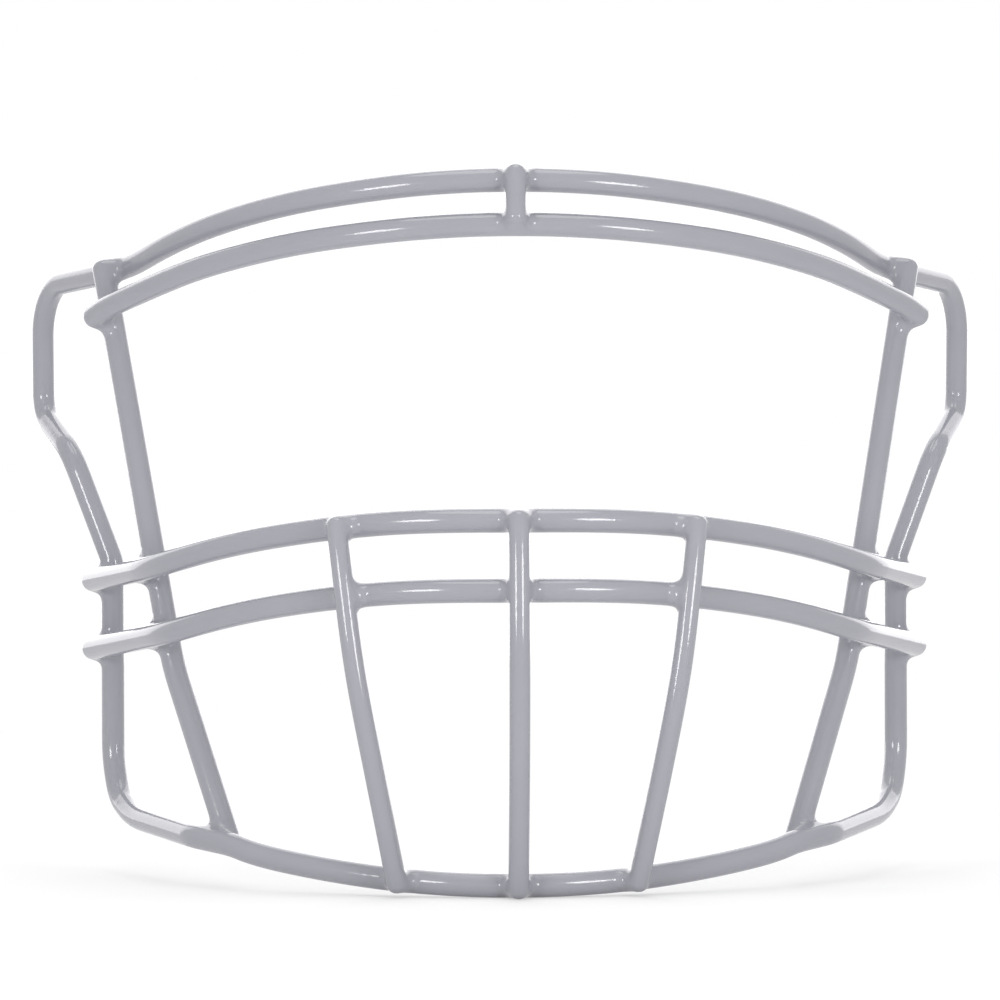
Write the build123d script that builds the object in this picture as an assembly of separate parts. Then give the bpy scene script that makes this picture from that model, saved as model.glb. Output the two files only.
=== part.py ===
from build123d import *
import os
from math import cos, radians, sin, tan

# Football helmet facemask: a bare cage of coated steel wire, welded where the wires cross.
# Millimetres. X runs to the right as seen from the front, Y towards the wearer's face, Z up.
# The origin lies midway between the two upright clip wires, where the helmet holds the cage.
# Depths are given as reach, measured forward from the middle of the clip wires, and heights
# from the origin.

os.makedirs("parts", exist_ok=True)

# Wire, with its coat
heavy_wire = 6.0
light_wire = 5.1
tip_round = 2.2

# Crossings: the upper wire sinks a little into the lower, and a bead of weld under the coat
# fills the corner all round, as thick as the bead on both wires.
# A hair gap keeps the wires and the weld apart as separate pieces.
weld_sink = 0.5
weld_bead = 1.3
joint_gap = 0.05
weld_straight = 14.0

# How much of a run the bends at its two ends may use, each
bend_run_share = 0.46
chin_search_share = 0.75
middle_share = 0.5
search_share = 1e-9
largest_bend = 900.0

# Upright clip wires at the two sides; by their lean, their tops stand ahead of their feet
clip_half_span = 125.0
clip_height = 34.6
clip_lean = 3.6
clip_top_bend = 15.0
clip_foot_bend = 8.0

# Side posts, from their tops to the knee below the jaw bars and on to the chin bar
post_top_half_span = 106.2
post_top_reach = 48.0
post_top_rise = 22.2
post_knee_half_span = 86.8
post_knee_reach = 73.5
post_knee_drop = 83.5
post_foot_half_span = 72.4
post_foot_reach = 88.5
post_foot_drop = 127.1
post_bend = 30.0
post_end_past_chin = 2.0

# Brow bars and the strut on them; by their lean, the lower one stands ahead of the upper
brow_rise = 38.4
brow_post_rise = 20.1
brow_turn = 60.0
brow_fall = 0.12
brow_reach = 121.0
brow_lean = 1.8
strut_end_past_brow = 2.8
strut_end_past_lower_brow = 1.4
brow_pitch = 11.1
brow_post_pitch = 12.8
lower_brow_turn = 54.0
lower_brow_fall = 0.36
lower_brow_past_post = 2.2

# Jaw bars
upper_jaw_reach = 137.5
upper_jaw_drop = 46.0
upper_jaw_post_drop = 58.5
upper_jaw_frame_drop = 62.0
lower_jaw_reach = 140.0
jaw_pitch = 17.1
jaw_post_pitch = 17.0
jaw_frame_pitch = 18.2
jaw_past_frame = 1.8

# Lower half of the outer frame wire
elbow_half_span = 116.0
elbow_reach = 23.0
elbow_drop = 28.0
elbow_bend = 12.0
lower_clip_half_span = 104.9
lower_clip_reach = 27.0
lower_clip_top_drop = 57.0
lower_clip_top_bend = 8.0
lower_clip_foot_drop = 109.5
lower_clip_foot_bend = 20.0
heel_half_span = 103.1
heel_reach = 31.6
heel_drop = 119.8
heel_bend = 16.0
chin_corner_half_span = 98.5
chin_corner_reach = 44.5
chin_corner_drop = 124.2
chin_corner_bend = 60.0
chin_reach = 125.3
chin_drop = 136.3
chin_turn = 46.0
chin_rise = 0.1

# Upright bars in front of the mouth
side_bar_upper_half_span = 41.9
side_bar_lower_half_span = 39.9
side_bar_chin_half_span = 28.1
bar_bow = 0.55
bar_knee_drop = 82.0
bar_shin_drop = 108.0
bar_shin_bulge = 3.6
bar_end_past_jaw = 3.2
bar_end_past_chin = 2.1

# Bars from the middle plane out to the side post: shares of the way to the post across,
# back and down, chosen by hand
brow_shares = [(0.08, 0.0, 0.0), (0.235, 0.035, 0.04), (0.385, 0.103, 0.125), (0.525, 0.203, 0.227),
               (0.655, 0.335, 0.365), (0.77, 0.493, 0.53), (0.87, 0.676, 0.725)]
lower_brow_shares = [(0.08, 0.0, 0.0), (0.235, 0.037, 0.04), (0.38, 0.115, 0.11), (0.51, 0.225, 0.195),
                     (0.635, 0.362, 0.32), (0.75, 0.521, 0.47), (0.855, 0.7, 0.665)]
jaw_shares = [(0.064, 0.0, 0.0), (0.19, 0.033, 0.005), (0.31, 0.095, 0.035), (0.43, 0.185, 0.105),
              (0.55, 0.293, 0.215), (0.67, 0.415, 0.36), (0.78, 0.54, 0.54), (0.87, 0.668, 0.73),
              (0.938, 0.79, 0.88)]
chin_shares = [(0.078, 0.0, 0.0), (0.234, 0.077, 0.03), (0.404, 0.221, 0.12), (0.573, 0.388, 0.28),
               (0.729, 0.56, 0.48), (0.86, 0.724, 0.7)]


def place(across, reach, rise):
    """Point given by its distance across, its reach forward and its height."""
    return Vector(across, -reach, rise)


def heading(turn, fall):
    """Direction of a bar on its way out and back: turned back by an angle, falling by a slope."""
    return Vector(cos(radians(turn)), sin(radians(turn)), -fall).normalized()


def on_run(start, end, rise):
    """Point at one height on the straight run from start to end."""
    return start + (end - start) * ((rise - start.Z) / (end.Z - start.Z))


def outward(across, upright):
    """Direction that points out of the cage, square to a crosswise and an upright wire."""
    return across.cross(upright).normalized()


def flipped(point):
    """The same point on the other side of the middle plane."""
    return Vector(-point.X, point.Y, point.Z)


def between(middle, side, shares):
    """Points from the middle of a bar out to its crossing with the post."""
    way = side - middle
    return [middle + Vector(way.X * a, way.Y * b, way.Z * c) for a, b, c in shares]


def bend_radii(points, caps, rooms):
    """Bend radius at each inner point: as large as its runs and its room allow, up to its cap."""
    radii = []
    for before, corner, after, cap, room in zip(points, points[1:], points[2:], caps, rooms):
        arriving = corner - before
        leaving = after - corner
        half_turn = radians(arriving.get_angle(leaving)) / 2
        free = min(room, bend_run_share * min(arriving.length, leaving.length))
        radii.append(min(free / tan(half_turn), cap))
    return radii


def wire_path(points, rooms, caps=None):
    """Centre line of a bent wire: straight runs joined by tangent arcs, clear of its welds."""
    caps = caps or [largest_bend] * len(rooms)
    return FilletPolyline(*points, radius=bend_radii(points, caps, rooms))


def tube(path, diameter):
    """Round wire along a centre line."""
    start = Plane(path @ 0, z_dir=path % 0)
    return sweep(start * Circle(diameter / 2), path=path)


def seat(right_path, diameter):
    """Room that a wire of the right half and its mirror image take up in what crosses them."""
    right = tube(right_path, diameter + joint_gap * 2)
    return right + mirror(right, about=Plane.YZ)


def rounded_ends(wire, path):
    """The same wire with its two cut ends rounded over by the coat."""
    for end in (path @ 0, path @ 1):
        disc = wire.faces().sort_by_distance(end)[0]
        wire = fillet(disc.edges(), tip_round)
    return wire


def spot_at(path, across, low):
    """Where a path, from one share of its length on, comes to a distance across; its heading."""
    high = 1.0
    rising = (path @ low).X < across
    while high - low > search_share:
        middle = (low + high) / 2
        if ((path @ middle).X < across) == rising:
            low = middle
        else:
            high = middle
    return path @ low, path % low


def stub(centre, run, away, diameter):
    """Short straight piece of wire round one crossing; its seam lies on the side named away."""
    return Plane(centre, x_dir=away, z_dir=run) * Cylinder(diameter / 2, stub_length)


def largest(shape):
    """The largest solid of a shape, without any slivers that a cut leaves."""
    return max(shape.solids(), key=lambda solid: solid.volume)


def weld(inner, outer, end=None):
    """Bead of weld and coat round a crossing; inner and outer are centre, run and diameter."""
    away = outer[0] - inner[0]
    wires = [(inner[0], inner[1], -away, inner[2]), (outer[0], outer[1], away, outer[2])]
    sleeves = [stub(centre, run, side, diameter + weld_bead * 2) for centre, run, side, diameter in wires]
    bead = sleeves[0] & sleeves[1]
    if end:
        past = Box(stub_length, stub_length, stub_length, align=(Align.CENTER, Align.CENTER, Align.MIN))
        bead = largest(bead - Plane(end[0], z_dir=end[1]) * past)
    for centre, run, side, diameter in wires:
        bead = largest(bead - stub(centre, run, side, diameter + joint_gap * 2))
    return bead


lower_brow_rise = brow_rise - brow_pitch
lower_brow_post_rise = brow_post_rise - brow_post_pitch
lower_jaw_drop = upper_jaw_drop + jaw_pitch
lower_jaw_post_drop = upper_jaw_post_drop + jaw_post_pitch
lower_jaw_frame_drop = upper_jaw_frame_drop + jaw_frame_pitch
heavy_pitch = heavy_wire - weld_sink
light_pitch = (heavy_wire + light_wire) / 2 - weld_sink
stub_length = heavy_wire * 4
upright = Vector(0, 0, 1)
crosswise = Vector(1, 0, 0)
half_straight = weld_straight / 2
weld_reach = heavy_wire / 2 + weld_bead
weld_room = half_straight - weld_reach

# Side post on the right: its three corners and its two runs
post_top = place(post_top_half_span, post_top_reach, post_top_rise)
post_knee = place(post_knee_half_span, post_knee_reach, -post_knee_drop)
post_foot = place(post_foot_half_span, post_foot_reach, -post_foot_drop)
post_run = (post_top - post_knee).normalized()
shin_run = (post_knee - post_foot).normalized()

# Brow bar: it passes inside the post, then runs straight back to the clip wire
brow_middle = place(0, brow_reach, brow_rise)
brow_run = heading(brow_turn, brow_fall)
brow_post = on_run(post_top, post_knee, brow_post_rise)
brow_side = brow_post - outward(brow_run, post_run) * heavy_pitch

# Lower brow bar: it passes outside the post and ends there
lower_brow_middle = place(0, brow_reach + brow_lean, lower_brow_rise)
lower_brow_run = heading(lower_brow_turn, lower_brow_fall)
lower_brow_post = on_run(post_top, post_knee, lower_brow_post_rise)
lower_brow_side = lower_brow_post + outward(lower_brow_run, post_run) * heavy_pitch

# Strut: it lies on the front of both brow bars, on the middle plane
strut_run = (brow_middle - lower_brow_middle).normalized()
strut_brow = brow_middle + outward(crosswise, strut_run) * light_pitch
strut_lower_brow = lower_brow_middle + outward(crosswise, strut_run) * light_pitch
strut_top = strut_brow + strut_run * strut_end_past_brow
strut_foot = strut_lower_brow - strut_run * strut_end_past_lower_brow

# Chin bar: it passes outside the post's foot
chin_middle = place(0, chin_reach, -chin_drop)
chin_run = heading(chin_turn, -chin_rise)
chin_side = post_foot + outward(chin_run, shin_run) * heavy_pitch

# Corners of the frame wire at the side, from the clip wire down to the chin
clip_top = place(clip_half_span, clip_lean / 2, clip_height / 2)
clip_foot = place(clip_half_span, -clip_lean / 2, -clip_height / 2)
elbow = place(elbow_half_span, elbow_reach, -elbow_drop)
lower_clip_top = place(lower_clip_half_span, lower_clip_reach, -lower_clip_top_drop)
lower_clip_foot = place(lower_clip_half_span, lower_clip_reach, -lower_clip_foot_drop)
heel = place(heel_half_span, heel_reach, -heel_drop)
chin_corner = place(chin_corner_half_span, chin_corner_reach, -chin_corner_drop)


def frame_path():
    """Right half of the outer frame wire, from the middle of the brow to that of the chin."""
    brow = between(brow_middle, brow_side, brow_shares)
    brow += [brow_side - brow_run * half_straight, brow_side + brow_run * half_straight]
    side = [clip_top, clip_foot, elbow, lower_clip_top, lower_clip_foot, heel, chin_corner]
    chin = [chin_side + chin_run * half_straight, chin_side - chin_run * half_straight]
    chin += reversed(between(chin_middle, chin_side, chin_shares))
    bends = [clip_top_bend, clip_foot_bend, elbow_bend, lower_clip_top_bend, lower_clip_foot_bend]
    bends += [heel_bend, chin_corner_bend]
    caps = [largest_bend] * len(brow) + bends + [largest_bend] * len(chin)
    rooms = [largest_bend] * (len(brow) - 2) + [weld_room] * 2 + [largest_bend] * len(side)
    rooms += [weld_room] * 2 + [largest_bend] * (len(chin) - 2)
    corners = brow + side + chin
    radii = bend_radii([flipped(corners[0])] + corners + [flipped(corners[-1])], caps, rooms)
    return FilletPolyline(brow_middle, *corners, chin_middle, radius=radii)


def bar_path(right_half):
    """Centre line of a bar across the cage, from the points of its right half."""
    points = [flipped(point) for point in reversed(right_half)] + right_half
    rooms = [weld_room] + [largest_bend] * (len(points) - 4) + [weld_room]
    return wire_path(points, rooms)


def lower_brow_path():
    """Centre line of the bar above the eyes."""
    half = between(lower_brow_middle, lower_brow_side, lower_brow_shares)
    half.append(lower_brow_side - lower_brow_run * half_straight)
    return bar_path(half + [lower_brow_side + lower_brow_run * lower_brow_past_post])


def jaw_spots(post_drop, frame_drop):
    """Centres of a jaw bar where it crosses the post and the frame wire, outside both."""
    post_spot = on_run(post_top, post_knee, -post_drop)
    frame_spot = place(lower_clip_half_span, lower_clip_reach, -frame_drop)
    jaw_run = (frame_spot - post_spot).normalized()
    at_post = post_spot + outward(jaw_run, post_run) * heavy_pitch
    at_frame = frame_spot + outward(jaw_run, upright) * heavy_pitch
    return post_spot, at_post, frame_spot, at_frame


def jaw_path(reach, drop, post_drop, frame_drop):
    """Centre line of a jaw bar."""
    _, at_post, _, at_frame = jaw_spots(post_drop, frame_drop)
    rear_run = (at_frame - at_post).normalized()
    half = between(place(0, reach, -drop), at_post, jaw_shares)
    half += [at_post - rear_run * half_straight, at_frame + rear_run * jaw_past_frame]
    return bar_path(half)


def mouth_bar_path(upper, lower, chin):
    """Centre line of a bar in front of the mouth; its centres and runs at the three crossings."""
    lean = upper[0] - chin[0]
    joints = [centre + outward(run, lean) * light_pitch for centre, run in (upper, lower, chin)]
    bow = (joints[0] + joints[1]) / 2 + place(0, bar_bow, 0)
    knee = on_run(bow, joints[1], -bar_knee_drop)
    shin = on_run(knee, joints[2], -bar_shin_drop) + place(0, bar_shin_bulge, 0)
    top = joints[0] + (joints[0] - bow).normalized() * bar_end_past_jaw
    foot = joints[2] + (joints[2] - shin).normalized() * bar_end_past_chin
    rooms = [(joints[1] - bow).length - weld_reach, (joints[1] - knee).length - weld_reach,
             (joints[2] - shin).length - weld_reach]
    runs = [(bow - joints[0]).normalized(), (joints[1] - bow).normalized(), (joints[2] - shin).normalized()]
    return wire_path([top, bow, knee, shin, foot], rooms), joints, runs


def mouth_bar_welds(side, spots, joints, runs, line):
    """Welds of one mouth bar at the two jaw bars and the chin bar."""
    names = ("upper_jaw", "lower_jaw", "chin")
    ends = ((line @ 0, -runs[0]), None, (line @ 1, runs[2]))
    welds = {}
    for name, spot, joint, run, end in zip(names, spots, joints, runs, ends):
        inner = (spot[0], spot[1], heavy_wire)
        welds[side + "_bar_" + name + "_weld"] = weld(inner, (joint, run, light_wire), end)
    return welds


def jaw_welds(name, line, spots):
    """Welds of one jaw bar at the right side post and the right of the frame wire."""
    post_spot, at_post, frame_spot, at_frame = spots
    run = (at_frame - at_post).normalized()
    at_post_bar = (at_post, run, heavy_wire)
    at_frame_bar = (at_frame, run, heavy_wire)
    post_weld = weld((post_spot, post_run, heavy_wire), at_post_bar)
    frame_weld = weld((frame_spot, upright, heavy_wire), at_frame_bar, (line @ 1, run))
    return {"post_" + name + "_weld": post_weld, "frame_" + name + "_weld": frame_weld}


# The wires, each notched where it sinks into one laid before it
right_frame_path = frame_path()
right_frame = tube(right_frame_path, heavy_wire)
frame = right_frame + mirror(right_frame, about=Plane.YZ)
frame_seat = seat(right_frame_path, heavy_wire)

last_crossing = on_run(post_top, post_knee, -lower_jaw_post_drop)
knee_room = (post_knee - last_crossing).length - weld_reach
post_end = post_foot - shin_run * post_end_past_chin
post_path = wire_path([post_top, post_knee, post_end], [knee_room], [post_bend])
right_post = rounded_ends(tube(post_path, heavy_wire), post_path) - frame_seat
post_seat = seat(post_path, heavy_wire)

lower_brow_line = lower_brow_path()
lower_brow = rounded_ends(tube(lower_brow_line, heavy_wire), lower_brow_line) - post_seat

strut_line = Line(strut_foot, strut_top)
strut = rounded_ends(tube(strut_line, light_wire), strut_line)
strut = strut - frame_seat - tube(lower_brow_line, heavy_wire + joint_gap * 2)

upper_jaw_line = jaw_path(upper_jaw_reach, upper_jaw_drop, upper_jaw_post_drop, upper_jaw_frame_drop)
lower_jaw_line = jaw_path(lower_jaw_reach, lower_jaw_drop, lower_jaw_post_drop, lower_jaw_frame_drop)
upper_jaw = rounded_ends(tube(upper_jaw_line, heavy_wire), upper_jaw_line) - post_seat - frame_seat
lower_jaw = rounded_ends(tube(lower_jaw_line, heavy_wire), lower_jaw_line) - post_seat - frame_seat
upper_jaw_seat = tube(upper_jaw_line, heavy_wire + joint_gap * 2)
lower_jaw_seat = tube(lower_jaw_line, heavy_wire + joint_gap * 2)

# Upright bars in front of the mouth, outside the jaw bars and the chin bar
centre_spots = [(place(0, upper_jaw_reach, -upper_jaw_drop), crosswise),
                (place(0, lower_jaw_reach, -lower_jaw_drop), crosswise), (chin_middle, crosswise)]
chin_spot, chin_inward = spot_at(right_frame_path, side_bar_chin_half_span, chin_search_share)
side_spots = [spot_at(upper_jaw_line, side_bar_upper_half_span, middle_share),
              spot_at(lower_jaw_line, side_bar_lower_half_span, middle_share),
              (chin_spot, -chin_inward)]
centre_bar_line, centre_joints, centre_runs = mouth_bar_path(*centre_spots)
right_bar_line, right_joints, right_runs = mouth_bar_path(*side_spots)
centre_bar = rounded_ends(tube(centre_bar_line, light_wire), centre_bar_line)
centre_bar = centre_bar - upper_jaw_seat - lower_jaw_seat - frame_seat
right_bar = rounded_ends(tube(right_bar_line, light_wire), right_bar_line)
right_bar = right_bar - upper_jaw_seat - lower_jaw_seat - frame_seat

# Welds on the middle plane
middle_welds = {
    "brow_strut_upper_weld": weld(
        (brow_middle, crosswise, heavy_wire), (strut_brow, strut_run, light_wire),
        (strut_top, strut_run)),
    "brow_strut_lower_weld": weld(
        (lower_brow_middle, crosswise, heavy_wire), (strut_lower_brow, strut_run, light_wire),
        (strut_foot, -strut_run))}
middle_welds.update(mouth_bar_welds("centre", centre_spots, centre_joints, centre_runs, centre_bar_line))

# Welds of the right half, which the left half mirrors
side_welds = {
    "post_brow_weld": weld(
        (brow_side, brow_run, heavy_wire), (brow_post, post_run, heavy_wire),
        (post_top, post_run)),
    "post_lower_brow_weld": weld(
        (lower_brow_post, post_run, heavy_wire), (lower_brow_side, lower_brow_run, heavy_wire),
        (lower_brow_line @ 1, lower_brow_run)),
    "post_chin_weld": weld(
        (post_foot, shin_run, heavy_wire), (chin_side, chin_run, heavy_wire),
        (post_path @ 1, -shin_run))}
side_welds.update(jaw_welds("upper_jaw", upper_jaw_line,
                            jaw_spots(upper_jaw_post_drop, upper_jaw_frame_drop)))
side_welds.update(jaw_welds("lower_jaw", lower_jaw_line,
                            jaw_spots(lower_jaw_post_drop, lower_jaw_frame_drop)))
side_welds.update(mouth_bar_welds("side", side_spots, right_joints, right_runs, right_bar_line))

nodes = {"outer_frame_wire": frame, "lower_brow_bar": lower_brow, "brow_strut": strut,
         "upper_jaw_bar": upper_jaw, "lower_jaw_bar": lower_jaw, "centre_mouth_bar": centre_bar}
nodes.update(middle_welds)
for name, shape in {"side_post": right_post, "side_mouth_bar": right_bar, **side_welds}.items():
    nodes["right_" + name] = shape
    nodes["left_" + name] = mirror(shape, about=Plane.YZ)
for name, shape in nodes.items():
    export_step(shape, "parts/" + name + ".step")
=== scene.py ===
from math import acos, cos, pi, radians, sin, tan

import bpy
import numpy as np
from mathutils import Matrix, Vector


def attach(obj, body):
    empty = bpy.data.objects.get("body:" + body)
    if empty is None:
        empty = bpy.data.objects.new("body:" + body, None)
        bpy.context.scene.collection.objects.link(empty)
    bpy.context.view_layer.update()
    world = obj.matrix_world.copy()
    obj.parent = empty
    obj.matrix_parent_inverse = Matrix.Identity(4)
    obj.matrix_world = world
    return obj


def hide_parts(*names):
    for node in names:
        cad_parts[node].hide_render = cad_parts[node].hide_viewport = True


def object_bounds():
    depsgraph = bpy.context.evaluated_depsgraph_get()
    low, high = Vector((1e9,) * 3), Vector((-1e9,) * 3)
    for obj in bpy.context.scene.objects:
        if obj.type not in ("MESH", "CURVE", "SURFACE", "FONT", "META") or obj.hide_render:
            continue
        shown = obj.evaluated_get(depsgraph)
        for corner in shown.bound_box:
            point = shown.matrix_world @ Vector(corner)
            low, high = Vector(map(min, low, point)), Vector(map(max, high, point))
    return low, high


# Football helmet facemask: a welded cage of round steel wire in one glossy grey powder coat.
# Routes and wire sizes are in millimetres, as in the CAD source, and go to metres at the end.
# X is to the right as seen from the front, Y back to the wearer's face, Z up.

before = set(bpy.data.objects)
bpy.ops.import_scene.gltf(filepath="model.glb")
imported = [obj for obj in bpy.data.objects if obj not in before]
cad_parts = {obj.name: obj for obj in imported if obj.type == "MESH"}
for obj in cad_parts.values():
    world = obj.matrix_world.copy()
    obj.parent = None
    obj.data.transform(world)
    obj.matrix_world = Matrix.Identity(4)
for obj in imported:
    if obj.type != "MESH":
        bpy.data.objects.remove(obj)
cad_low, cad_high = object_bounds()
metre = 0.001

# Diameters of the wires over their coat, and how the coat rounds a free end
heavy_wire = 6.0
light_wire = 5.1
tip_round = 2.2
tip_rings = 9

# Crossings: how far two wires sink into each other, how far from one a bend may begin, and half
# of the straight that a bar keeps across the post
weld_sink = 0.5
weld_reach = 4.3
half_straight = 7.0
weld_room = half_straight - weld_reach

# Bends: the share of the shorter run beside one that it may take, the radius or room that stands
# for no limit, and the number of points along one
bend_run_share = 0.46
largest_bend = 900.0
bend_points = 24

# Points along a wire: how far apart they are, over what length its curvature is eased, how many
# such lengths the easing reaches, below what radius a bend keeps its shape, and how many points
# go round the wire
route_step = 0.8
ease_length = 4.0
ease_spread = 3
tight_bend = 26.0
wire_sides = 40

# Skin over a weld: the radius of its fillet between two wires, how proud of them it stands, how far
# from the weld's middle it begins to sink into them and how fast, where it ends, and how far past
# that the wires still count
weld_fillet = 3.6
skin_proud = 0.012
skin_full = 7.6
skin_fall = 0.012
skin_end = 10.6
wire_margin = 6.0

# How fine the skin is sampled, and how it settles on its surface
skin_cell = 0.28
cells_per_block = 4
settle_rounds = 3
settle_nudge = 0.01
least_steepness = 0.25

# Shares of the way from the middle of a bar to the side post: across, back, down
brow_shares = [(0.08, 0.0, 0.0), (0.235, 0.035, 0.04), (0.385, 0.103, 0.125), (0.525, 0.203, 0.227),
               (0.655, 0.335, 0.365), (0.77, 0.493, 0.53), (0.87, 0.676, 0.725)]
lower_brow_shares = [(0.08, 0.0, 0.0), (0.235, 0.037, 0.04), (0.38, 0.115, 0.11), (0.51, 0.225, 0.195),
                     (0.635, 0.362, 0.32), (0.75, 0.521, 0.47), (0.855, 0.7, 0.665)]
jaw_shares = [(0.064, 0.0, 0.0), (0.19, 0.033, 0.005), (0.31, 0.095, 0.035), (0.43, 0.185, 0.105),
              (0.55, 0.293, 0.215), (0.67, 0.415, 0.36), (0.78, 0.54, 0.54), (0.87, 0.668, 0.73),
              (0.938, 0.79, 0.88)]
chin_shares = [(0.078, 0.0, 0.0), (0.234, 0.077, 0.03), (0.404, 0.221, 0.12), (0.573, 0.388, 0.28),
               (0.729, 0.56, 0.48), (0.86, 0.724, 0.7)]

# Heights of the crossings on the right side post, and of the jaw bars on the outer frame wire
brow_on_post = 20.1
lower_brow_on_post = 7.3
upper_jaw_on_post = -58.5
lower_jaw_on_post = -75.5
upper_jaw_on_frame = -62.0
lower_jaw_on_frame = -80.2

# How far the free ends run past the middle of their last crossing
post_past_chin = 2.0
lower_brow_past_post = 2.2
strut_past_brow = 2.8
strut_past_lower_brow = 1.4
jaw_past_frame = 1.8
mouth_bar_past_jaw = 3.2
mouth_bar_past_chin = 2.1

# Mouth bars: how far they bow out between the jaw bars, the heights of their two bends below these,
# how far the lower bend stands out, and how far across the right one crosses its three wires
mouth_bar_bow = 0.55
mouth_bar_knee_height = -82.0
mouth_bar_shin_height = -108.0
mouth_bar_shin_out = 3.6
side_bar_on_upper_jaw = 41.9
side_bar_on_lower_jaw = 39.9
side_bar_on_chin = 28.1


def unit(way):
    """The same direction with a length of 1."""
    return way / np.linalg.norm(way)


def place(across, reach, rise):
    """Point by its distance across, its reach forward and its height."""
    return np.array([across, -reach, rise], float)


def heading(turn, fall):
    """Direction of a bar on its way out and back."""
    return unit(np.array([cos(radians(turn)), sin(radians(turn)), -fall]))


def on_run(start, end, rise):
    """Point at one height on the straight run from start to end."""
    return start + (end - start) * ((rise - start[2]) / (end[2] - start[2]))


def outward(across, upright):
    """Direction out of the cage, square to a crosswise and an upright wire."""
    return unit(np.cross(across, upright))


def flipped(points):
    """The same points on the other side of the cage."""
    return points * np.array([-1.0, 1.0, 1.0])


def between(middle, side, shares):
    """Points from the middle of a bar out to its crossing with the post."""
    return [middle + (side - middle) * np.array(share) for share in shares]


def bent(points, caps=None, rooms=None, half=False):
    """A wire's runs and bends as close points, and 1 for each point of a tight bend.

    A bend's radius stays under its cap, and its tangents stay shorter than its room. On half of a
    wire, the first and last runs go on past the middle of the cage.
    """
    caps = caps or [largest_bend] * (len(points) - 2)
    rooms = rooms or [largest_bend] * (len(points) - 2)
    steps, holds = [points[0]], [0.0]
    lengths = [np.linalg.norm(after - before) for before, after in zip(points, points[1:])]
    if half:
        lengths[0] *= 2
        lengths[-1] *= 2
    for number, (corner, cap, room) in enumerate(zip(points[1:], caps, rooms)):
        run_in, run_out = unit(corner - points[number]), unit(points[number + 2] - corner)
        turn = acos(max(-1.0, min(1.0, float(run_in @ run_out))))
        runs = min(lengths[number:number + 2])
        radius = min(min(room, bend_run_share * runs) / tan(turn / 2), cap)
        start = corner - run_in * radius * tan(turn / 2)
        inward = unit(run_out - run_in * cos(turn))
        for angle in np.linspace(0.0, turn, bend_points):
            steps.append(start + radius * (sin(angle) * run_in + (1 - cos(angle)) * inward))
            holds.append(float(radius < tight_bend))
    steps.append(points[-1])
    holds.append(0.0)
    return np.array(steps), np.array(holds)


def lengths_along(line):
    """How far along a line each of its points lies."""
    return np.concatenate([[0.0], np.cumsum(np.linalg.norm(np.diff(line, axis=0), axis=1))])


def values_at(stops, lengths, values):
    """Values at stops along a line, from those at its points."""
    return np.stack([np.interp(stops, lengths, column) for column in values.T], axis=1)


def along(points, values):
    """Values at even steps along a line of points."""
    lengths = lengths_along(points)
    count = max(2, round(lengths[-1] / route_step) + 1)
    return values_at(np.linspace(0.0, lengths[-1], count), lengths, values.reshape(len(values), -1))


def eased(line, holds, closed=False):
    """The same line with its curvature eased from bend to bend, save in its tight bends."""
    reach = int(ease_spread * ease_length / route_step)
    offsets = np.arange(-reach, reach + 1) * route_step / ease_length
    kernel = np.exp(-0.5 * offsets ** 2)
    kernel /= kernel.sum()

    def blurred(values):
        """Values evened out along the line, which is mirrored through each free end."""
        if closed:
            wide = np.concatenate([values[-reach:], values, values[:reach]])
        else:
            head = 2 * values[0] - values[reach:0:-1]
            tail = 2 * values[-1] - values[-2:-reach - 2:-1]
            wide = np.concatenate([head, values, tail])
        return np.stack([np.convolve(column, kernel, "valid") for column in wide.T], axis=1)

    # The blur draws the line in at its bends, and the second blur tells by how much
    soft = blurred(line)
    soft = 2 * soft - blurred(soft)
    keep = np.clip(2 * blurred(holds), 0.0, 1.0)
    return line * keep + soft * (1 - keep)


def open_wire(points, diameter, caps=None, rooms=None):
    """A wire with two free ends, from its ends and the corners between them."""
    steps, holds = bent(points, caps, rooms)
    line = along(steps, steps)
    if len(points) > 2:
        line = eased(line, along(steps, holds))
    return {"line": line, "radius": diameter / 2, "closed": False}


def bar(right_half):
    """Wire of a bar across the cage, from the points of its right half."""
    points = [flipped(point) for point in reversed(right_half)] + right_half
    rooms = [weld_room] + [largest_bend] * (len(points) - 4) + [weld_room]
    return open_wire(points, heavy_wire, None, rooms)


def spot_at(line, across, skipped):
    """Where a line comes to a distance across, past a skipped share of it, and its heading there."""
    part = line[int(skipped * len(line)):]
    side = part[:, 0] - across
    index = int(np.argmax(side[:-1] * side[1:] <= 0))
    share = side[index] / (side[index] - side[index + 1])
    way = part[index + 1] - part[index]
    return part[index] + way * share, unit(way)


heavy_pitch = heavy_wire - weld_sink
light_pitch = (heavy_wire + light_wire) / 2 - weld_sink
upright = np.array([0.0, 0.0, 1.0])
crosswise = np.array([1.0, 0.0, 0.0])

# Side post on the right
post_top = place(106.2, 48.0, 22.2)
post_knee = place(86.8, 73.5, -83.5)
post_foot = place(72.4, 88.5, -127.1)
post_run = unit(post_top - post_knee)
shin_run = unit(post_knee - post_foot)
post_knee_bend = 30.0
last_crossing = on_run(post_top, post_knee, lower_jaw_on_post)
side_post = open_wire([post_top, post_knee, post_foot - shin_run * post_past_chin], heavy_wire,
                      [post_knee_bend], [np.linalg.norm(post_knee - last_crossing) - weld_reach])

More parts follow.
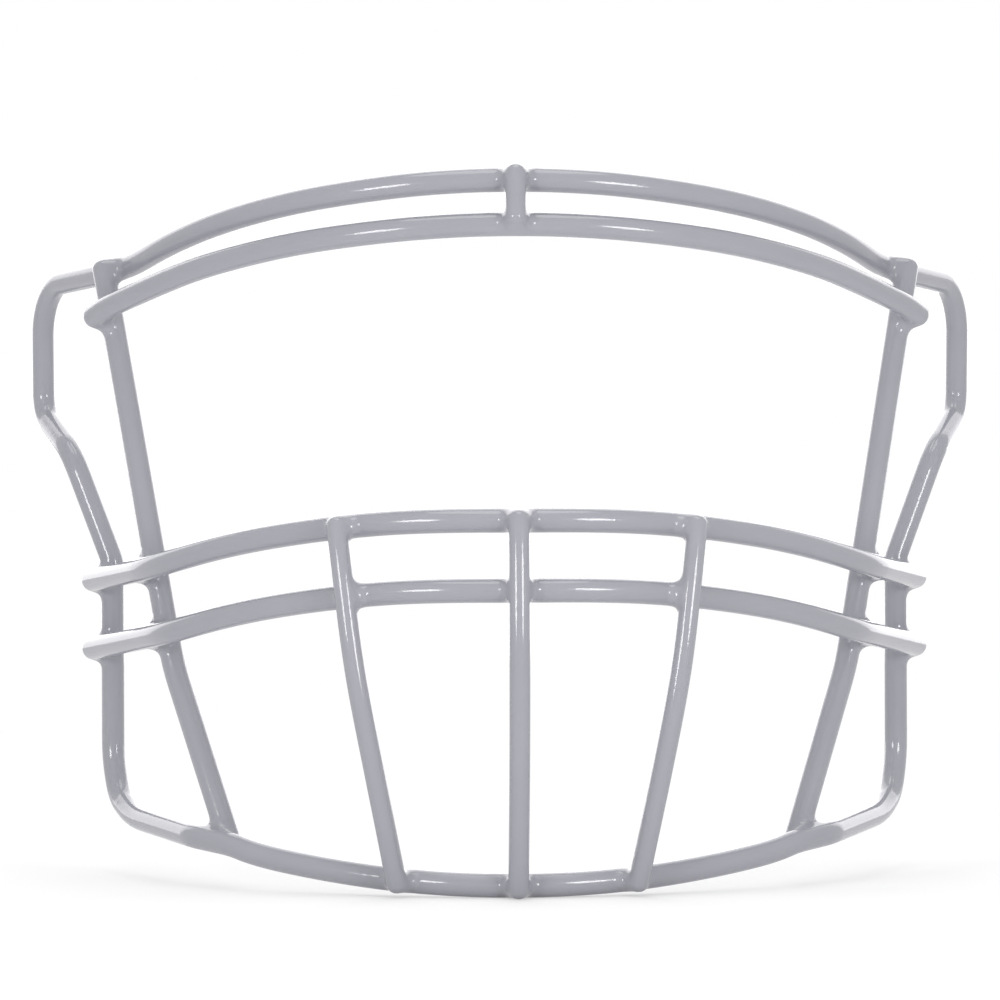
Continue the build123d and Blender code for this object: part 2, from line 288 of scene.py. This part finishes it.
# Brow bars, and the strut in front of them
brow_middle = place(0, 121.0, 38.4)
brow_run = heading(60.0, 0.12)
brow_post = on_run(post_top, post_knee, brow_on_post)
brow_side = brow_post - outward(brow_run, post_run) * heavy_pitch
lower_brow_middle = place(0, 122.8, 27.3)
lower_brow_run = heading(54.0, 0.36)
lower_brow_post = on_run(post_top, post_knee, lower_brow_on_post)
lower_brow_side = lower_brow_post + outward(lower_brow_run, post_run) * heavy_pitch
lower_brow = bar(between(lower_brow_middle, lower_brow_side, lower_brow_shares)
                 + [lower_brow_side - lower_brow_run * half_straight,
                    lower_brow_side + lower_brow_run * lower_brow_past_post])
strut_run = unit(brow_middle - lower_brow_middle)
strut_offset = outward(crosswise, strut_run) * light_pitch
strut_brow = brow_middle + strut_offset
strut_lower_brow = lower_brow_middle + strut_offset
strut = open_wire([strut_lower_brow - strut_run * strut_past_lower_brow,
                   strut_brow + strut_run * strut_past_brow], light_wire)

# Outer frame wire in one closed loop: brow, clip wires, elbows, lower side runs and chin
chin_middle = place(0, 125.3, -136.3)
chin_run = heading(46.0, -0.1)
chin_side = post_foot + outward(chin_run, shin_run) * heavy_pitch
lower_run_across = 104.9
lower_run_reach = 27.0

# Its corners between brow and chin: across, reach and rise, then the radius of the bend
side_corners = [((125.0, 1.8, 17.3), 15.0),
                ((125.0, -1.8, -17.3), 8.0),
                ((116.0, 23.0, -28.0), 12.0),
                ((lower_run_across, lower_run_reach, -57.0), 8.0),
                ((lower_run_across, lower_run_reach, -109.5), 20.0),
                ((103.1, 31.6, -119.8), 16.0),
                ((98.5, 44.5, -124.2), 60.0)]
brow_points = between(brow_middle, brow_side, brow_shares)
brow_points += [brow_side - brow_run * half_straight, brow_side + brow_run * half_straight]
side_points = [place(*corner) for corner, bend in side_corners]
chin_points = [chin_side + chin_run * half_straight, chin_side - chin_run * half_straight]
chin_points += reversed(between(chin_middle, chin_side, chin_shares))
frame_caps = [largest_bend] * len(brow_points) + [bend for corner, bend in side_corners]
frame_caps += [largest_bend] * len(chin_points)
frame_rooms = [largest_bend] * (len(brow_points) - 2) + [weld_room] * 2
frame_rooms += [largest_bend] * len(side_points) + [weld_room] * 2
frame_rooms += [largest_bend] * (len(chin_points) - 2)
half_steps, half_holds = bent([brow_middle] + brow_points + side_points + chin_points + [chin_middle],
                              frame_caps, frame_rooms, True)
half_line = along(half_steps, half_steps)
half_holds = along(half_steps, half_holds)
whole_line = np.concatenate([half_line, flipped(half_line[-2:0:-1])])
whole_holds = np.concatenate([half_holds, half_holds[-2:0:-1]])
outer_frame = {"line": eased(whole_line, whole_holds, True), "radius": heavy_wire / 2, "closed": True}


def jaw(middle, post_height, frame_height):
    """A jaw bar, and the middles of its crossings with the post and with the outer frame wire."""
    post_spot = on_run(post_top, post_knee, post_height)
    frame_spot = place(lower_run_across, lower_run_reach, frame_height)
    jaw_run = unit(frame_spot - post_spot)
    at_post = post_spot + outward(jaw_run, post_run) * heavy_pitch
    at_frame = frame_spot + outward(jaw_run, upright) * heavy_pitch
    rear_run = unit(at_frame - at_post)
    half = between(middle, at_post, jaw_shares)
    wire = bar(half + [at_post - rear_run * half_straight, at_frame + rear_run * jaw_past_frame])
    return wire, (post_spot + at_post) / 2, (frame_spot + at_frame) / 2


# Jaw bars
upper_jaw_middle = place(0, 137.5, -46.0)
lower_jaw_middle = place(0, 140.0, -63.1)
upper_jaw, upper_post_spot, upper_frame_spot = jaw(upper_jaw_middle, upper_jaw_on_post,
                                                   upper_jaw_on_frame)
lower_jaw, lower_post_spot, lower_frame_spot = jaw(lower_jaw_middle, lower_jaw_on_post,
                                                   lower_jaw_on_frame)


def mouth_bar(upper, lower, chin):
    """A bar in front of the mouth, and the middles of its three crossings.

    Each wire that it crosses is given as a spot on it and its heading there.
    """
    lean = upper[0] - chin[0]
    spots = (upper, lower, chin)
    joints = [centre + outward(run, lean) * light_pitch for centre, run in spots]
    bow = (joints[0] + joints[1]) / 2 + place(0, mouth_bar_bow, 0)
    knee = on_run(bow, joints[1], mouth_bar_knee_height)
    shin = on_run(knee, joints[2], mouth_bar_shin_height) + place(0, mouth_bar_shin_out, 0)
    top = joints[0] + unit(joints[0] - bow) * mouth_bar_past_jaw
    foot = joints[2] + unit(joints[2] - shin) * mouth_bar_past_chin
    rooms = [np.linalg.norm(start - end) - weld_reach
             for start, end in ((joints[1], bow), (joints[1], knee), (joints[2], shin))]
    wire = open_wire([top, bow, knee, shin, foot], light_wire, None, rooms)
    return wire, [(joint + spot[0]) / 2 for joint, spot in zip(joints, spots)]


# Mouth bars. The right half of a jaw bar is the last half of its line, and the chin is the last
# quarter of the outer frame wire's right half
chin_spot, chin_heading = spot_at(half_line, side_bar_on_chin, 0.75)
centre_bar, centre_spots = mouth_bar((upper_jaw_middle, crosswise), (lower_jaw_middle, crosswise),
                                     (chin_middle, crosswise))
side_bar, side_spots = mouth_bar(spot_at(upper_jaw["line"], side_bar_on_upper_jaw, 0.5),
                                 spot_at(lower_jaw["line"], side_bar_on_lower_jaw, 0.5),
                                 (chin_spot, -chin_heading))


def linked(tree, node_type, links=(), **settings):
    """A new node, with its settings and its inputs given by number or name."""
    node = tree.nodes.new(node_type)
    for name, value in settings.items():
        setattr(node, name, value)
    for name, value in links:
        target = node.inputs[name]
        if isinstance(value, bpy.types.NodeSocket):
            tree.links.new(value, target)
        else:
            target.default_value = value
    return node


def maths(tree, operation, first, second=0.0):
    """Result of one sum on sockets or numbers."""
    return linked(tree, "ShaderNodeMath", [(0, first), (1, second)], operation=operation).outputs[0]


def node_of_type(tree, kind):
    """The first node of a type that a new tree comes with."""
    return next(node for node in tree.nodes if node.type == kind)


# Powder coat: its two tints, the rate of its clouds, grain and orange peel to the metre, the range
# of its roughness, and the height of the peel in metres
coat_tints = ((0.301, 0.302, 0.339, 1.0), (0.323, 0.323, 0.359, 1.0))
cloud_rate = 55.0
grain_rate = 260.0
peel_rate = 620.0
grain_range = (0.3, 0.7)
coat_roughness = (0.09, 0.14)
peel_height = 0.000025


def powder_coat():
    """Glossy light grey powder coat with a faint orange peel."""
    coat = bpy.data.materials.new("grey_gloss_powder_coat")
    coat.use_nodes = True
    tree = coat.node_tree
    shader = node_of_type(tree, "BSDF_PRINCIPLED")
    shader.inputs["IOR"].default_value = 1.5
    spot = linked(tree, "ShaderNodeTexCoord").outputs["Object"]

    def noise(rate, detail):
        """Value of a noise over the piece."""
        links = [("Vector", spot), ("Scale", rate), ("Detail", detail)]
        return linked(tree, "ShaderNodeTexNoise", links).outputs["Fac"]

    tint = linked(tree, "ShaderNodeMix", [(0, noise(cloud_rate, 3.0)), (6, coat_tints[0]),
                                          (7, coat_tints[1])], data_type="RGBA")
    tree.links.new(tint.outputs[2], shader.inputs["Base Color"])
    gloss = linked(tree, "ShaderNodeMapRange",
                   [("Value", noise(grain_rate, 2.0)),
                    ("From Min", grain_range[0]), ("From Max", grain_range[1]),
                    ("To Min", coat_roughness[0]), ("To Max", coat_roughness[1])])
    tree.links.new(gloss.outputs[0], shader.inputs["Roughness"])
    bump = linked(tree, "ShaderNodeBump", [("Height", noise(peel_rate, 1.0)), ("Strength", 1.0),
                                           ("Distance", peel_height)])
    tree.links.new(bump.outputs[0], shader.inputs["Normal"])
    return coat


def wire_tree():
    """Geometry nodes: a round wire along a route, with the coat rounded over its open ends."""
    tree = bpy.data.node_groups.new("coated_wire", "GeometryNodeTree")
    face = tree.interface
    face.new_socket("Route", in_out="INPUT", socket_type="NodeSocketGeometry")
    names = {}
    for name, kind in (("Wire Diameter", "Float"), ("Tip Round", "Float"), ("Sides", "Int"),
                       ("Coat", "Material")):
        item = face.new_socket(name, in_out="INPUT", socket_type="NodeSocket" + kind)
        names[name] = item.identifier
    face.new_socket("Wire", in_out="OUTPUT", socket_type="NodeSocketGeometry")
    given = tree.nodes.new("NodeGroupInput").outputs
    tip = given["Tip Round"]
    route = linked(tree, "GeometryNodeMeshToCurve", [("Mesh", given["Route"])])

    # Radius along the wire: a quarter round over each tip, and whole between them
    passed = linked(tree, "GeometryNodeSplineParameter").outputs["Length"]
    whole = linked(tree, "GeometryNodeSplineLength").outputs["Length"]
    to_end = maths(tree, "MINIMUM", passed, maths(tree, "SUBTRACT", whole, passed))
    inset = maths(tree, "SUBTRACT", tip, maths(tree, "MINIMUM", to_end, tip))
    squares = maths(tree, "SUBTRACT", maths(tree, "MULTIPLY", tip, tip),
                    maths(tree, "MULTIPLY", inset, inset))
    flat = maths(tree, "SUBTRACT", maths(tree, "MULTIPLY", given["Wire Diameter"], 0.5), tip)
    radius = maths(tree, "ADD", flat, maths(tree, "SQRT", maths(tree, "MAXIMUM", squares, 0.0)))

    # Tube round the route, which takes its radius from the curve or from an input of its own
    sized = linked(tree, "GeometryNodeSetCurveRadius",
                   [("Curve", route.outputs[0]), ("Radius", radius)])
    ring = linked(tree, "GeometryNodeCurvePrimitiveCircle",
                  [("Resolution", given["Sides"]), ("Radius", 1.0)])
    tube = linked(tree, "GeometryNodeCurveToMesh",
                  [("Curve", sized.outputs[0]), ("Profile Curve", ring.outputs[0]), ("Fill Caps", True)])
    if "Scale" in tube.inputs:
        tree.links.new(radius, tube.inputs["Scale"])
    smooth = linked(tree, "GeometryNodeSetShadeSmooth", [("Geometry", tube.outputs[0])])
    real = linked(tree, "GeometryNodeRealizeInstances", [("Geometry", smooth.outputs[0])])
    dressed = linked(tree, "GeometryNodeSetMaterial",
                     [("Geometry", real.outputs[0]), ("Material", given["Coat"])])
    out = tree.nodes.new("NodeGroupOutput")
    tree.links.new(dressed.outputs[0], out.inputs["Wire"])
    return tree, names


coat = powder_coat()
coated_wire, wire_inputs = wire_tree()


def add_object(name, data):
    """A new object in the scene with a mesh, a lamp or a camera for its data."""
    item = bpy.data.objects.new(name, data)
    bpy.context.scene.collection.objects.link(item)
    return item


def boxed(points):
    """Points in millimetres, none of them past the sides of the CAD model's box."""
    return np.clip(points, np.array(cad_low) / metre, np.array(cad_high) / metre)


def dress(piece, node):
    """The piece stands for a CAD node, which it hides, and rides with the cage."""
    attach(piece, "root")
    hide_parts(node)


def with_tip_rings(line):
    """A line with close points inside its two rounded ends."""
    lengths = lengths_along(line)
    total = lengths[-1]
    tip = tip_round * (1 - np.cos(np.linspace(0.0, pi / 2, tip_rings)))
    clear = tip_round * 1.1
    inner = lengths[(lengths > clear) & (lengths < total - clear)]
    return values_at(np.concatenate([tip, inner, total - tip[::-1]]), lengths, line)


def add_wire(node, wire, mirror=False):
    """One wire of the cage, as a tube made by geometry nodes along its route."""
    line = wire["line"] if wire["closed"] else with_tip_rings(wire["line"])
    if mirror:
        line = flipped(line)
    edges = [(i, i + 1) for i in range(len(line) - 1)]
    if wire["closed"]:
        edges.append((len(line) - 1, 0))
    route_mesh = bpy.data.meshes.new(node + "_route")
    route_mesh.from_pydata((line * metre).tolist(), edges, [])
    route = add_object(node + "_route", route_mesh)
    modifier = route.modifiers.new("coated_wire", "NODES")
    modifier.node_group = coated_wire
    modifier[wire_inputs["Wire Diameter"]] = wire["radius"] * 2 * metre
    modifier[wire_inputs["Tip Round"]] = 0.0 if wire["closed"] else tip_round * metre
    modifier[wire_inputs["Sides"]] = wire_sides
    modifier[wire_inputs["Coat"]] = coat
    bpy.context.view_layer.update()
    seen = route.evaluated_get(bpy.context.evaluated_depsgraph_get())
    mesh = bpy.data.meshes.new_from_object(seen)
    bpy.data.objects.remove(route)
    mesh.name = "coated_" + node
    spots = np.empty(len(mesh.vertices) * 3)
    mesh.vertices.foreach_get("co", spots)
    spots = boxed(spots.reshape(-1, 3) / metre) * metre
    mesh.vertices.foreach_set("co", spots.ravel())
    dress(add_object("coated_" + node, mesh), node)


def stretch_near(wire, centre, reach):
    """The stretch of a wire within reach of a centre, run on straight past its free ends.

    Also those ends, each with its way out, and the wire's radius.
    """
    line = wire["line"]
    # A closed line is made to start far from the centre, so that the stretch is in one piece
    if wire["closed"]:
        line = np.roll(line, -int(np.argmax(np.linalg.norm(line - centre, axis=1))), axis=0)
    near = np.flatnonzero(np.linalg.norm(line - centre, axis=1) < reach)
    first, last = near[0], near[-1]
    part = line[first:last + 1]
    ends = []
    if not wire["closed"] and first == 0:
        out = unit(part[0] - part[1])
        ends.append((part[0], out))
        part = np.concatenate([[part[0] + out * reach], part])
    if not wire["closed"] and last == len(line) - 1:
        out = unit(part[-1] - part[-2])
        ends.append((part[-1], out))
        part = np.concatenate([part, [part[-1] + out * reach]])
    return part, ends, wire["radius"]


def wire_distance(points, stretch):
    """How far points lie outside a wire with rounded ends."""
    part, ends, radius = stretch
    nearest = np.full(len(points), np.inf)
    for start, end in zip(part[:-1], part[1:]):
        way = end - start
        offset = points - start
        share = np.clip(offset @ way / (way @ way), 0.0, 1.0)
        offset -= share[:, None] * way
        nearest = np.minimum(nearest, np.einsum("ij,ij->i", offset, offset))
    outside = np.sqrt(nearest) - radius
    for end, out in ends:
        side, past = outside + tip_round, (points - end) @ out + tip_round
        rim = np.hypot(np.maximum(side, 0.0), np.maximum(past, 0.0))
        outside = np.minimum(np.maximum(side, past), 0.0) + rim - tip_round
    return outside


def filleted(first, second):
    """Joins two distances with a round fillet."""
    corner = np.hypot(np.maximum(weld_fillet - first, 0.0), np.maximum(weld_fillet - second, 0.0))
    return np.maximum(weld_fillet, np.minimum(first, second)) - corner


def weld_field(centre, wires):
    """Function that tells how far points lie outside the skin over one weld."""
    stretches = [stretch_near(wire, centre, skin_end + wire_margin) for wire in wires]

    def outside(points):
        """How far points lie outside the skin, which sinks into the wires away from the weld."""
        value = wire_distance(points, stretches[0])
        for stretch in stretches[1:]:
            value = filleted(value, wire_distance(points, stretch))
        away = np.linalg.norm(points - centre, axis=1)
        value = value - skin_proud + skin_fall * np.maximum(away - skin_full, 0.0) ** 2
        return np.maximum(value, away - skin_end)

    return outside


def sampled(outside, centre):
    """Values of a distance on a grid round a centre, close only near the surface, and its corner."""
    blocks = int(2 * (skin_end + skin_cell) / (skin_cell * cells_per_block)) + 2
    count = blocks * cells_per_block
    ticks = (np.arange(count) - (count - 1) / 2) * skin_cell
    middles = ticks.reshape(blocks, cells_per_block).mean(axis=1)
    coarse = np.stack(np.meshgrid(middles, middles, middles, indexing="ij"), axis=-1).reshape(-1, 3)
    values = outside(coarse + centre).reshape(blocks, blocks, blocks)
    for axis in range(3):
        values = np.repeat(values, cells_per_block, axis=axis)
    near = np.argwhere(np.abs(values) < skin_cell * cells_per_block)
    values[tuple(near.T)] = outside(ticks[near] + centre)
    return values, centre + ticks[0]


def net(values):
    """Vertices and quads of the surface where a grid of values changes sign.

    Each cell that the surface runs through gets a vertex, and each grid edge that it cuts gets a
    quad among the vertices of the four cells round it.
    """
    cells = tuple(size - 1 for size in values.shape)
    sums = np.zeros(cells + (3,))
    counts = np.zeros(cells, int)
    edges = []
    for axis in range(3):
        low = np.take(values, range(cells[axis]), axis=axis)
        high = np.take(values, range(1, cells[axis] + 1), axis=axis)
        found = np.argwhere((low < 0) != (high < 0))
        lows, highs = low[tuple(found.T)], high[tuple(found.T)]
        spots = found.astype(float)
        spots[:, axis] += lows / (lows - highs)
        second, third = (axis + 1) % 3, (axis + 2) % 3
        corners = []
        for back_second, back_third in ((1, 1), (0, 1), (0, 0), (1, 0)):
            cell = found.copy()
            cell[:, second] -= back_second
            cell[:, third] -= back_third
            np.add.at(sums, tuple(cell.T), spots)
            np.add.at(counts, tuple(cell.T), 1)
            corners.append(np.ravel_multi_index(tuple(cell.T), cells))
        quads = np.stack(corners, axis=1)
        quads[lows > 0] = quads[lows > 0][:, ::-1]
        edges.append(quads)
    used = np.flatnonzero(counts)
    order = np.zeros(counts.size, int)
    order[used] = np.arange(len(used))
    vertices = sums.reshape(-1, 3)[used] / counts.reshape(-1)[used][:, None]
    return vertices, order[np.concatenate(edges)]


def settled(vertices, outside):
    """Vertices moved onto the surface that a distance describes."""
    for _ in range(settle_rounds):
        slope = np.stack([(outside(vertices + step) - outside(vertices - step)) / (2 * settle_nudge)
                          for step in np.eye(3) * settle_nudge], axis=1)
        steep = np.maximum(np.einsum("ij,ij->i", slope, slope), least_steepness)
        move = slope * (outside(vertices) / steep)[:, None]
        vertices = vertices - np.clip(move, -skin_cell / 2, skin_cell / 2)
    return vertices


def add_skin(node, vertices, quads):
    """One weld of the cage, as a mesh in place of its CAD node."""
    mesh = bpy.data.meshes.new("skin_" + node)
    mesh.from_pydata((boxed(vertices) * metre).tolist(), [], quads.tolist())
    mesh.polygons.foreach_set("use_smooth", [True] * len(mesh.polygons))
    mesh.materials.append(coat)
    dress(add_object("skin_" + node, mesh), node)


def weld_skin(centre, wires):
    """Vertices and quads of the skin over one weld."""
    outside = weld_field(centre, wires)
    values, corner = sampled(outside, centre)
    vertices, quads = net(values)
    return settled(corner + vertices * skin_cell, outside), quads


# Wires, each in place of its CAD node
add_wire("outer_frame_wire", outer_frame)
add_wire("lower_brow_bar", lower_brow)
add_wire("upper_jaw_bar", upper_jaw)
add_wire("lower_jaw_bar", lower_jaw)
add_wire("brow_strut", strut)
add_wire("centre_mouth_bar", centre_bar)
for side in ("right", "left"):
    add_wire(side + "_side_post", side_post, side == "left")
    add_wire(side + "_side_mouth_bar", side_bar, side == "left")

# Welds: the middle of each, and the wires that its skin blends
brow_wires = (outer_frame, strut, lower_brow)
middle_welds = {
    "brow_strut_upper_weld": ((brow_middle + strut_brow) / 2, brow_wires),
    "brow_strut_lower_weld": ((lower_brow_middle + strut_lower_brow) / 2, brow_wires),
    "centre_bar_upper_jaw_weld": (centre_spots[0], (upper_jaw, centre_bar)),
    "centre_bar_lower_jaw_weld": (centre_spots[1], (lower_jaw, centre_bar)),
    "centre_bar_chin_weld": (centre_spots[2], (outer_frame, centre_bar))}
post_wires = (outer_frame, side_post, lower_brow)
side_welds = {
    "post_brow_weld": ((brow_side + brow_post) / 2, post_wires),
    "post_lower_brow_weld": ((lower_brow_side + lower_brow_post) / 2, post_wires),
    "post_chin_weld": ((chin_side + post_foot) / 2, (side_post, outer_frame)),
    "post_upper_jaw_weld": (upper_post_spot, (side_post, upper_jaw)),
    "post_lower_jaw_weld": (lower_post_spot, (side_post, lower_jaw)),
    "frame_upper_jaw_weld": (upper_frame_spot, (outer_frame, upper_jaw)),
    "frame_lower_jaw_weld": (lower_frame_spot, (outer_frame, lower_jaw)),
    "side_bar_upper_jaw_weld": (side_spots[0], (upper_jaw, side_bar)),
    "side_bar_lower_jaw_weld": (side_spots[1], (lower_jaw, side_bar)),
    "side_bar_chin_weld": (side_spots[2], (outer_frame, side_bar))}
for node, (centre, wires) in middle_welds.items():
    add_skin(node, *weld_skin(centre, wires))
for node, (centre, wires) in side_welds.items():
    vertices, quads = weld_skin(centre, wires)
    add_skin("right_" + node, vertices, quads)
    add_skin("left_" + node, flipped(vertices), quads[:, ::-1])

# Camera at the photograph's place: nearly straight on, a little to the left of the middle
camera_spot = (-0.038, -1.295, -0.041)
camera_turn = radians(1.66)
camera_roll = radians(0.2)
camera_data = bpy.data.cameras.new("front_camera")
camera_data.lens = 170.46
camera_data.sensor_width = 36.0
camera = add_object("front_camera", camera_data)
ahead = Vector((sin(camera_turn), cos(camera_turn), 0.0))
level = Vector((cos(camera_turn), -sin(camera_turn), 0.0))
above = Vector((0.0, 0.0, 1.0))
right_way = level * cos(camera_roll) - above * sin(camera_roll)
up_way = above * cos(camera_roll) + level * sin(camera_roll)
camera.matrix_world = (Matrix.Translation(camera_spot)
                       @ Matrix((right_way, up_way, -ahead)).transposed().to_4x4())
bpy.context.scene.camera = camera


def white_for_sight(tree):
    """1 for rays of sight, and for those seen in a gloss or through glass."""
    path = tree.nodes.new("ShaderNodeLightPath").outputs
    seen = maths(tree, "MAXIMUM", path["Is Camera Ray"], path["Is Glossy Ray"])
    return maths(tree, "MAXIMUM", seen, path["Is Transmission Ray"])


# White surround, dimmer as a source of light than it looks
full_white = (1.0, 1.0, 1.0, 1.0)
surround_light = 0.6
surround = bpy.data.worlds.new("white_studio")
bpy.context.scene.world = surround
surround.use_nodes = True
tree = surround.node_tree
background = node_of_type(tree, "BACKGROUND")
background.inputs["Color"].default_value = full_white
strength = linked(tree, "ShaderNodeMapRange",
                  [("Value", white_for_sight(tree)), ("To Min", surround_light), ("To Max", 1.0)])
tree.links.new(strength.outputs[0], background.inputs["Strength"])

# Pale floor under the chin bar. The share of white that it shows grows from floor_white to 1
# between the near and the far distance
floor_grey = (0.85, 0.85, 0.85, 1.0)
floor_white = 0.45
floor_near = 0.15
floor_far = 0.75
floor_reach = 6.0
floor_corners = [(-floor_reach, -floor_reach), (floor_reach, -floor_reach),
                 (floor_reach, floor_reach), (-floor_reach, floor_reach)]
floor_mesh = bpy.data.meshes.new("floor")
floor_mesh.from_pydata([(x, y, cad_low.z) for x, y in floor_corners], [], [(0, 1, 2, 3)])
floor = add_object("floor", floor_mesh)
floor_paint = bpy.data.materials.new("pale_floor")
floor_paint.use_nodes = True
tree = floor_paint.node_tree
shader = node_of_type(tree, "BSDF_PRINCIPLED")
shader.inputs["Base Color"].default_value = floor_grey
shader.inputs["Roughness"].default_value = 0.9
shader.inputs["Specular IOR Level"].default_value = 0.0
white = linked(tree, "ShaderNodeEmission", [("Color", full_white), ("Strength", 1.0)])
floor_spot = linked(tree, "ShaderNodeTexCoord").outputs["Object"]
distance = linked(tree, "ShaderNodeVectorMath", [(0, floor_spot)], operation="LENGTH").outputs["Value"]
fade = linked(tree, "ShaderNodeMapRange",
              [("Value", distance), ("From Min", floor_near), ("From Max", floor_far),
               ("To Min", floor_white), ("To Max", 1.0)], interpolation_type="SMOOTHSTEP")
seen_white = maths(tree, "MULTIPLY", white_for_sight(tree), fade.outputs[0])
painted = linked(tree, "ShaderNodeMixShader",
                 [(0, seen_white), (1, shader.outputs[0]), (2, white.outputs[0])])
tree.links.new(painted.outputs[0], node_of_type(tree, "OUTPUT_MATERIAL").inputs["Surface"])
floor_mesh.materials.append(floor_paint)

# Two small lamps in front, to the left and right, a soft light above the cage, and a wide one
# behind it that whitens the rims of the wires: their places, sizes and radiance
cage_middle = (0.0, -0.07, -0.05)
lamps = {"left_lamp": ((-0.433, -0.645, 0.05), 0.19, 14.0),
         "right_lamp": ((0.357, -0.645, 0.05), 0.19, 14.0),
         "top_light": ((0.0, -0.2, 1.6), 1.2, 2.5),
         "back_light": ((0.0, 1.5, 0.3), 3.6, 1.5)}


def add_lamp(name, lamp_spot, size, radiance):
    """A round soft lamp that the camera doesn't see, turned to the cage."""
    data = bpy.data.lights.new(name, "AREA")
    data.shape = "DISK"
    data.size = size
    data.energy = radiance * pi * pi * (size / 2) ** 2
    lamp = add_object(name, data)
    lamp.visible_camera = False
    turn = (Vector(lamp_spot) - Vector(cage_middle)).to_track_quat("Z", "Y")
    lamp.matrix_world = Matrix.Translation(lamp_spot) @ turn.to_matrix().to_4x4()


for name, (lamp_spot, size, radiance) in lamps.items():
    add_lamp(name, lamp_spot, size, radiance)

bpy.context.scene.view_settings.view_transform = "Standard"
